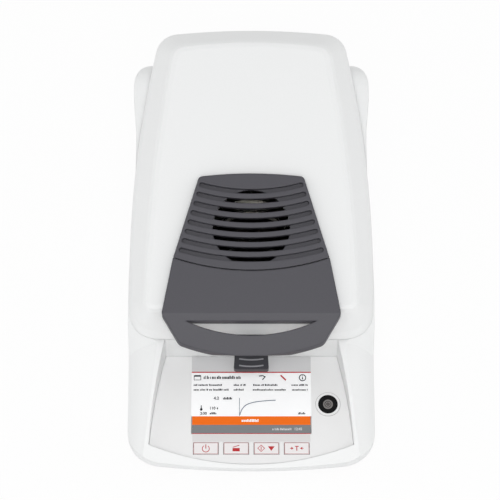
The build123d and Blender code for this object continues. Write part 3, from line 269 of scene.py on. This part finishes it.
def on_top(level):
    def place(x, from_front, height):
        return Vector((x, FRONT + from_front, level + height)) * MM
    return place


def add_patch(mesh, outline, place, low, high):
    lower = [mesh.verts.new(place(x, a, low)) for x, a in outline]
    upper = [mesh.verts.new(place(x, a, high)) for x, a in outline]
    mesh.faces.new(lower[::-1])
    mesh.faces.new(upper)
    count = len(outline)
    for i in range(count):
        j = (i + 1) % count
        mesh.faces.new((lower[i], lower[j], upper[j], upper[i]))


def add_line(mesh, points, width, place, low, high, closed=False):
    count = len(points)
    rows = []
    for i, (x, a) in enumerate(points):
        before = points[i - 1] if i or closed else points[0]
        after = points[(i + 1) % count] if i < count - 1 or closed else points[-1]
        back = Vector((x - before[0], a - before[1])).normalized()
        ahead = Vector((after[0] - x, after[1] - a)).normalized()
        run = (back + ahead).normalized()
        straight = back if back.length else ahead
        reach = width / 2 / max(run.dot(straight), 0.3)
        side = Vector((-run.y, run.x)) * reach
        left, right = (x + side.x, a + side.y), (x - side.x, a - side.y)
        corners = ((left, low), (right, low), (right, high), (left, high))
        rows.append([mesh.verts.new(place(*point, height)) for point, height in corners])
    for i in range(count if closed else count - 1):
        first, second = rows[i], rows[(i + 1) % count]
        for k in range(4):
            mesh.faces.new((first[k], first[(k + 1) % 4], second[(k + 1) % 4], second[k]))
    if not closed:
        mesh.faces.new(rows[0])
        mesh.faces.new(rows[-1][::-1])


def thin_piece(name, body, material, patches=(), lines=(), low=0.0, high=0.1, place=on_panel):
    mesh = bmesh.new()
    for outline in patches:
        add_patch(mesh, outline, place, low, high)
    for points, width, closed in lines:
        add_line(mesh, points, width, place, low, high, closed)
    bmesh.ops.recalc_face_normals(mesh, faces=mesh.faces)
    data = bpy.data.meshes.new(name)
    mesh.to_mesh(data)
    mesh.free()
    data.materials.append(material)
    piece = bpy.data.objects.new(name, data)
    bpy.context.scene.collection.objects.link(piece)
    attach(piece, body)


def bar(x0, x1, a0, a1):
    return [(x0, a0), (x1, a0), (x1, a1), (x0, a1)]


def round_bar(x0, x1, middle, thickness):
    radius = thickness / 2
    turn = [math.radians(-90 + 30 * step) for step in range(7)]
    right = [(x1 - radius + radius * math.cos(t), middle + radius * math.sin(t)) for t in turn]
    left = [(x0 + radius - radius * math.cos(t), middle - radius * math.sin(t)) for t in turn]
    return right + left


def circle(x, a, radius, steps=32):
    return [(x + radius * math.cos(2 * math.pi * i / steps), a + radius * math.sin(2 * math.pi * i / steps))
            for i in range(steps)]


print("panel starts", PANEL_START, "mm behind the front edge, at a height of", PANEL_HEIGHT, "mm")

# %% [markdown]
# ## The display's picture
# The screen shows a drying run: a title row, two rows of settings, a moisture curve on its axis, a status
# band and a footer. Words are drawn as plain bars, because at this size that is what the eye takes in. The
# base areas lie on the glass and the characters one layer above them, so no two visible
# faces share a plane.

# %% Screen areas
SCREEN_HALF, BAND_HALF = 50.0, 49.2
AREA_TOP, INK_TOP = 0.10, 0.16
thin_piece("screen_upper_strip", "base", picture_strip,
           [bar(-SCREEN_HALF, SCREEN_HALF, 80.7, 94.0)], high=AREA_TOP)
thin_piece("screen_white_area", "base", picture_white,
           [bar(-SCREEN_HALF, SCREEN_HALF, 41.4, 79.7)], high=AREA_TOP)
thin_piece("screen_status_band", "base", picture_orange,
           [bar(-BAND_HALF, BAND_HALF, 33.9, 41.4)], high=AREA_TOP)
thin_piece("screen_footer", "base", picture_grey,
           [bar(-BAND_HALF, BAND_HALF, 26.6, 33.9)], high=AREA_TOP)
thin_piece("screen_red_lines", "base", ink_red,
           [bar(-SCREEN_HALF, SCREEN_HALF, 79.7, 80.7), bar(-BAND_HALF, BAND_HALF, 26.0, 26.6)],
           high=AREA_TOP)
print("screen width:", 2 * SCREEN_HALF, "mm")

# %% [markdown]
# Rows of small bars of uneven width read as lines of print. Their widths are drawn from a seeded generator,
# so the screen is the same in every run. The icons are plain outlines: a window, a thermometer, an arrow, a
# tool and a ring with a dot and a stem.

# %% Rows of characters and icons
seeded = random.Random(7)


def words(x0, x1, along, height):
    glyphs, x = [], x0
    while x < x1 - 0.5:
        width = seeded.uniform(0.55, 1.15)
        rise = height * seeded.choice((0.72, 0.72, 1.0))
        glyphs.append(bar(x, min(x + width, x1), along - height / 2, along - height / 2 + rise))
        x += width + (0.95 if seeded.random() < 0.12 else 0.3)
    return glyphs


row_spans = [
    (75.7, 2.9, ((-40.0, -9.0),)),
    (69.0, 1.7, ((-48.3, -24.5), (-14.8, -3.6), (1.5, 22.4), (33.6, 47.3))),
    (64.8, 1.7, ((-48.3, -18.4), (-14.8, -6.4), (1.2, 29.6), (34.0, 47.7))),
    (57.2, 2.2, ((-23.6, -15.5),)),
    (48.6, 2.0, ((-28.8, -26.4),)),
    (44.0, 1.9, ((-34.6, -29.2), (39.0, 45.8))),
]
text_rows = [glyph for along, height, spans in row_spans for x0, x1 in spans
             for glyph in words(x0, x1, along, height)]
thin_piece("screen_rows", "base", picture_dark, text_rows + [
    round_bar(-48.2, -42.2, 77.0, 1.4), circle(-41.8, 47.4, 1.1, 16), bar(-42.2, -41.4, 47.4, 51.0),
    circle(43.0, 76.9, 0.4, 12), bar(42.6, 43.4, 74.0, 75.9),
], [
    (bar(-48.0, -42.4, 73.4, 77.0), 0.5, True),
    ([(6.4, 76.8), (9.4, 77.3), (11.6, 76.2), (9.2, 73.4)], 0.8, False),
    (circle(43.0, 75.4, 2.7), 0.75, True),
], low=AREA_TOP, high=INK_TOP)
thin_piece("screen_tool_icon", "base", ink_red, (), [
    ([(24.6, 77.6), (26.0, 76.2), (29.0, 73.2)], 1.3, False),
], low=AREA_TOP, high=INK_TOP)
print("character bars:", len(text_rows))

# %% [markdown]
# The curve rises steeply and levels off, as moisture content does in a drying run. A hyperbola gives that
# shape with one number, its knee: the smaller the knee, the sharper the bend.

# %% Axis and curve
CURVE_STEPS, CURVE_KNEE = 40, 0.115
curve_points = []
for step in range(CURVE_STEPS + 1):
    share_run = (step / CURVE_STEPS) ** 1.6
    share_rise = (1 + CURVE_KNEE) * share_run / (share_run + CURVE_KNEE)
    curve_points.append((-9.6 + 30.0 * share_run, 42.4 + 13.1 * share_rise))
thin_piece("screen_curve", "base", picture_curve, (), [(curve_points, 0.8, False)],
           low=AREA_TOP, high=INK_TOP)
thin_piece("screen_axis", "base", picture_curve, (),
           [([(-9.9, 41.8), (-9.9, 57.6)], 0.5, False)], low=AREA_TOP, high=INK_TOP)
print("curve points:", len(curve_points))


# %% [markdown]
# Plain figures stand where the instrument shows its readings. Blender's own font makes them as curves,
# which are extruded, turned into a mesh and laid on the panel like the other prints.

# %% Figures
def figures(name, text, x, along, size, material):
    curve = bpy.data.curves.new(name + "_outline", "FONT")
    curve.body = text
    curve.size = size
    curve.extrude = (INK_TOP - AREA_TOP) / 2
    curve.offset = 0.1
    curve.align_y = "CENTER"
    source = bpy.data.objects.new(name + "_outline", curve)
    data = bpy.data.meshes.new_from_object(source)
    bpy.data.objects.remove(source)
    for vertex in data.vertices:
        local = vertex.co.copy()
        vertex.co = on_panel(x + local.x, along + local.y, (AREA_TOP + INK_TOP) / 2 + local.z)
    data.name = name
    data.materials.clear()
    data.materials.append(material)
    piece = bpy.data.objects.new(name, data)
    bpy.context.scene.collection.objects.link(piece)
    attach(piece, "base")


figures("screen_moisture_figure", "4.2", -31.4, 57.2, 3.6, picture_dark)
figures("screen_heat_figure", "110", -35.0, 48.4, 3.4, picture_dark)
figures("screen_time_figure", "2:30", -42.6, 43.8, 3.2, picture_dark)
figures("screen_clock_figure", "12:45", 35.6, 30.2, 3.0, picture_strip)
thin_piece("screen_status_words", "base", picture_white,
           words(-8.0, 6.0, 37.7, 2.3), low=AREA_TOP, high=INK_TOP)
thin_piece("screen_footer_words", "base", picture_strip,
           words(17.5, 33.6, 30.2, 1.9), low=AREA_TOP, high=INK_TOP)

# %% [markdown]
# ## Keys
# Each key is a cap under the film with a thin printed frame and a red symbol. The prints ride on the key,
# so they sink with it when it is pressed.

# %% Key prints
KEY_PITCH, KEY_ALONG, KEY_TOP = 25.1, 13.5, 0.3
KEY_HALF, KEY_RISE, PRINT_DEPTH = 10.0, 4.75, 0.05
key_x = {name: (i - 1.5) * KEY_PITCH for i, name in enumerate(("power", "method", "start", "tare"))}


def arc(x, a, radius, start, end, steps=24):
    turn = [math.radians(start + (end - start) * i / steps) for i in range(steps + 1)]
    return [(x + radius * math.cos(t), a + radius * math.sin(t)) for t in turn]


def key_symbols(name, x):
    if name == "power":
        return [], [(arc(x, KEY_ALONG - 0.3, 2.9, 125, 415), 0.6, False),
                    ([(x, KEY_ALONG - 0.2), (x, KEY_ALONG + 3.4)], 0.7, False)]
    if name == "method":
        return [bar(x - 3.0, x + 3.0, KEY_ALONG - 2.6, KEY_ALONG + 0.2)], [
            ([(x - 2.8, KEY_ALONG + 0.9), (x + 2.6, KEY_ALONG + 2.6)], 0.6, False)]
    if name == "start":
        diamond = [(x - 7.2, KEY_ALONG), (x - 4.4, KEY_ALONG - 2.8),
                   (x - 1.6, KEY_ALONG), (x - 4.4, KEY_ALONG + 2.8)]
        pointer = [(x + 1.2, KEY_ALONG + 1.7), (x + 4.0, KEY_ALONG - 2.2), (x + 6.8, KEY_ALONG + 1.7)]
        return [pointer], [(diamond, 0.45, True),
                           ([(x - 4.4, KEY_ALONG - 1.4), (x - 4.4, KEY_ALONG + 1.4)], 0.6, False)]
    pointers = []
    for side in (-1, 1):
        pointers.append([(x + side * 2.6, KEY_ALONG), (x + side * 4.6, KEY_ALONG + side * 1.2),
                         (x + side * 4.6, KEY_ALONG - side * 1.2)])
    return pointers + [bar(x - 1.5, x + 1.5, KEY_ALONG + 1.3, KEY_ALONG + 2.0),
                       bar(x - 0.4, x + 0.4, KEY_ALONG - 2.0, KEY_ALONG + 1.3)], [
        ([(x + side * 4.6, KEY_ALONG), (x + side * 5.6, KEY_ALONG)], 0.5, False) for side in (-1, 1)]


for name, x in key_x.items():
    symbol_patches, symbol_lines = key_symbols(name, x)
    thin_piece(f"key_symbol_{name}", f"key_{name}_body", ink_red, symbol_patches, symbol_lines,
               low=KEY_TOP, high=KEY_TOP + PRINT_DEPTH)
    thin_piece(f"key_frame_{name}", f"key_{name}_body", ink_line, (),
               [(bar(x - KEY_HALF, x + KEY_HALF, KEY_ALONG - KEY_RISE, KEY_ALONG + KEY_RISE), 0.5, True)],
               low=KEY_TOP, high=KEY_TOP + PRINT_DEPTH)
thin_piece("key_field_print", "base", ink_field,
           [bar(-49.0, 49.0, 19.4, 25.7)], high=PRINT_DEPTH)
print("keys printed:", len(key_x))

# %% [markdown]
# ## Level
# The spirit level has a vial with a printed circle, and the bubble rests inside the circle when the
# instrument stands level. The vial is in the frame. The bubble is half of a flattened ball, the circle is a
# swept ring, and a fine pale line round the level's seat stands for the shadow at its rim.

# %% Level pieces
LEVEL_X, LEVEL_ALONG, VIAL_TOP = 64.0, 51.9, 0.3


def cap_piece(name, material, radius, base, height):
    mesh = bmesh.new()
    bmesh.ops.create_uvsphere(mesh, u_segments=32, v_segments=16, radius=1.0)
    for vertex in mesh.verts:
        local = vertex.co.copy()
        rise = local.z * height if local.z > 0 else local.z * 0.1
        vertex.co = on_panel(LEVEL_X + local.x * radius, LEVEL_ALONG + local.y * radius, base + rise)
    for face in mesh.faces:
        face.smooth = True
    data = bpy.data.meshes.new(name)
    mesh.to_mesh(data)
    mesh.free()
    data.materials.append(material)
    piece = bpy.data.objects.new(name, data)
    bpy.context.scene.collection.objects.link(piece)
    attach(piece, "base")


cap_piece("level_bubble", bubble_glass, 1.6, VIAL_TOP, 0.35)
thin_piece("level_circle", "base", black_acetal, (),
           [(circle(LEVEL_X, LEVEL_ALONG, 2.6), 0.45, True)], low=VIAL_TOP, high=VIAL_TOP + 0.1)
# This pale ring is painted shadow at the level's rim.
thin_piece("level_shadow_line", "base", painted_shadow_ring, (),
           [(circle(LEVEL_X, LEVEL_ALONG, 10.35, 48), 0.3, True)], high=PRINT_DEPTH)
print("level at", LEVEL_X, "mm across and", LEVEL_ALONG, "mm up the slope")

# %% [markdown]
# ## Grip ridges
# Two low ridges across the pan handler's grip keep a finger from slipping. They are swept strips with a
# finish of their own, a lighter grey than the handler's that is a painted highlight along the ridges.

# %% Ridges on the grip
GRIP_TOP = 67.5
# The ridges' lighter grey is a painted highlight along them.
ridge_painted_highlight = finish("ridge painted highlight", "#A9A9AE", "#9B9BA0", 0.4, pattern_mm=0.6, depth_mm=0.008)
ridge_lines = []
for from_front in (70.2, 76.4):
    ridge_lines.append(([(x, from_front + 1.0 * (x / 10.0) ** 2) for x in range(-10, 11)], 1.1, False))
thin_piece("grip_ridges", "handler", ridge_painted_highlight, (), ridge_lines, low=0.0, high=0.35,
           place=on_top(GRIP_TOP))
print("ridges:", len(ridge_lines))

# %% [markdown]
# ## Contacts in the rear sockets
# Inside each socket are the contacts that a plug meets: three flat blades for the mains, nine pins for the
# serial lead and a flat tongue in each USB socket. Blades and tongues are short prisms, and pins are round
# wires with a flat end.


# %% Sockets' contacts
def behind(from_front):
    def place(x, height, out):
        return Vector((x, FRONT + from_front + out, height)) * MM
    return place


def wire(name, body, material, paths, radius, sides=8):
    mesh = bmesh.new()
    for points in paths:
        rows = []
        for i, point in enumerate(points):
            run = (points[min(i + 1, len(points) - 1)] - points[max(i - 1, 0)]).normalized()
            side = run.cross(Vector((0, 0, 1)) if abs(run.z) < 0.9 else Vector((1, 0, 0))).normalized()
            rise = run.cross(side)
            turn = [2 * math.pi * k / sides for k in range(sides)]
            rows.append([
                mesh.verts.new(point + radius * MM * (math.cos(t) * side + math.sin(t) * rise))
                for t in turn])
        for first, second in zip(rows, rows[1:]):
            for k in range(sides):
                mesh.faces.new((first[k], first[(k + 1) % sides], second[(k + 1) % sides], second[k]))
        mesh.faces.new(rows[0])
        mesh.faces.new(rows[-1][::-1])
    bmesh.ops.recalc_face_normals(mesh, faces=mesh.faces)
    data = bpy.data.meshes.new(name)
    mesh.to_mesh(data)
    mesh.free()
    data.materials.append(material)
    piece = bpy.data.objects.new(name, data)
    bpy.context.scene.collection.objects.link(piece)
    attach(piece, body)


thin_piece("mains_blades", "base", nickel_plate,
           [bar(38, 40, 36, 40), bar(52, 54, 36, 40), bar(45, 47, 41.5, 45.5)],
           high=17.0, place=behind(317.0))
thin_piece("usb_tongues", "base", white_acetal,
           [bar(-2.8, 2.8, 29.8, 32.2), bar(13.6, 22.4, 31.0, 32.6)], high=8.0, place=behind(329.0))
serial_place = behind(331.0)
serial_pins = []
for height, count in ((48.9, 5), (46.1, 4)):
    for i in range(count):
        x = 10 + (i - (count - 1) / 2) * 2.74
        serial_pins.append([serial_place(x, height, 0.0), serial_place(x, height, 6.0)])
wire("serial_pins", "base", nickel_plate, serial_pins, 0.5)
print("serial pins:", len(serial_pins))

# %% [markdown]
# ## Lamp filament
# The ring lamp is a quartz tube with a coiled tungsten wire along its middle. The coil is a helix wound
# round the ring's centre line, which is how the wire is held clear of the glass.

# %% Filament
CHAMBER_FROM_FRONT = 168.0
LAMP_RADIUS, LAMP_HEIGHT, LAMP_ARC = 42.0, 88.0, 330
COIL_RADIUS, COIL_TURNS, COIL_STEPS = 1.3, 70, 10
tungsten = finish("tungsten wire", "#8C8C90", "#7C7C80", 0.35, pattern_mm=0.5, depth_mm=0.002, Metallic=1.0)
chamber_middle = Vector((0, FRONT + CHAMBER_FROM_FRONT, LAMP_HEIGHT))
coil = []
for step in range(COIL_TURNS * COIL_STEPS + 1):
    part_way = step / (COIL_TURNS * COIL_STEPS)
    around = math.radians(6 + (LAMP_ARC - 12) * part_way)
    spin = 2 * math.pi * COIL_TURNS * part_way
    reach = LAMP_RADIUS + COIL_RADIUS * math.cos(spin)
    offset = Vector((reach * math.cos(around), reach * math.sin(around), COIL_RADIUS * math.sin(spin)))
    coil.append((chamber_middle + offset) * MM)
wire("lamp_filament", "lid", tungsten, [coil], 0.2, sides=5)
print("filament turns:", COIL_TURNS)

# %% [markdown]
# ## Studio
# The instrument stands on a pale floor that runs past the frame, under a white sky and four large soft
# lamps. The strongest is beside the camera, so the lid's shadow falls where the camera hardly sees it.
# Towards the camera the floor is mostly its own white, which keeps a faint contact shadow and no horizon.

# %% Floor, lamps and sky
FLOOR_HALF, FLOOR_OWN_WHITE, SKY_STRENGTH = 6.0, 0.94, 0.64
bpy.ops.mesh.primitive_plane_add(size=2 * FLOOR_HALF)
floor = bpy.context.object
floor.name = "studio_floor"
floor_paint = bpy.data.materials.new("pale floor")
floor_paint.use_nodes = True
tree = floor_paint.node_tree
tree.nodes.clear()
seen = add_node(tree, "ShaderNodeLightPath")
direct = add_node(tree, "ShaderNodeMath", {
    0: seen.outputs["Is Camera Ray"], 1: seen.outputs["Is Glossy Ray"]}, operation="MAXIMUM")
either = add_node(tree, "ShaderNodeMath", {
    0: direct.outputs[0], 1: seen.outputs["Is Transmission Ray"]}, operation="MAXIMUM")
share = add_node(tree, "ShaderNodeMath", {0: either.outputs[0], 1: FLOOR_OWN_WHITE}, operation="MULTIPLY")
matt = add_node(tree, "ShaderNodeBsdfDiffuse", {"Color": linear("#F2F2F2")})
bright = add_node(tree, "ShaderNodeEmission", {"Color": linear("#FFFFFF"), "Strength": 1.0})
mixed = add_node(tree, "ShaderNodeMixShader", {
    "Fac": share.outputs[0], 1: matt.outputs["BSDF"], 2: bright.outputs["Emission"]})
add_node(tree, "ShaderNodeOutputMaterial", {"Surface": mixed.outputs["Shader"]})
floor.data.materials.append(floor_paint)

world = bpy.data.worlds.new("white studio")
bpy.context.scene.world = world
world.use_nodes = True
world.node_tree.nodes.clear()
sky = add_node(world.node_tree, "ShaderNodeBackground", {
    "Color": linear("#FFFFFF"), "Strength": SKY_STRENGTH})
add_node(world.node_tree, "ShaderNodeOutputWorld", {"Surface": sky.outputs["Background"]})


def soft_lamp(name, place, aim, size, power):
    lamp = bpy.data.lights.new(name, "AREA")
    lamp.shape = "SQUARE"
    lamp.size = size
    lamp.energy = power
    holder = bpy.data.objects.new(name, lamp)
    holder.location = place
    holder.rotation_euler = (Vector(aim) - Vector(place)).to_track_quat("-Z", "Y").to_euler()
    bpy.context.scene.collection.objects.link(holder)


LAMP_AIM = (0, 0, 0.1)
soft_lamp("camera-side lamp", (0.0, -1.25, 2.05), LAMP_AIM, 1.1, 16.0)
soft_lamp("front lamp", (0.0, -2.2, 0.9), LAMP_AIM, 1.2, 2.0)
soft_lamp("left lamp", (-1.9, 0.0, 0.9), LAMP_AIM, 1.0, 3.5)
soft_lamp("right lamp", (1.9, 0.0, 0.9), LAMP_AIM, 1.0, 3.5)
print("lamps:", len(bpy.data.lights))

# %% [markdown]
# ## Camera
# The photograph looks down steeply from the front, from far away through a long lens, so its verticals
# hardly converge. The camera stands 1.7 m from a point inside the instrument.

# %% Camera
VIEW_HEIGHT = math.radians(57)
DISTANCE = 1.7
IMAGE_PIXELS = 500
AIM = Vector((0, 0, 0.09))
lens = bpy.data.cameras.new("photo camera")
lens.lens = 145.3
lens.sensor_width = 36
lens.shift_x = -1.3 / IMAGE_PIXELS
lens.shift_y = -2.76 / IMAGE_PIXELS
camera = bpy.data.objects.new("photo camera", lens)
camera.location = AIM + DISTANCE * Vector((0, -math.cos(VIEW_HEIGHT), math.sin(VIEW_HEIGHT)))
camera.rotation_euler = (math.pi / 2 - VIEW_HEIGHT, 0, 0)
bpy.context.scene.collection.objects.link(camera)
bpy.context.scene.camera = camera
bpy.context.scene.view_settings.view_transform = "Standard"
print("camera at", [round(value, 3) for value in camera.location], "m")
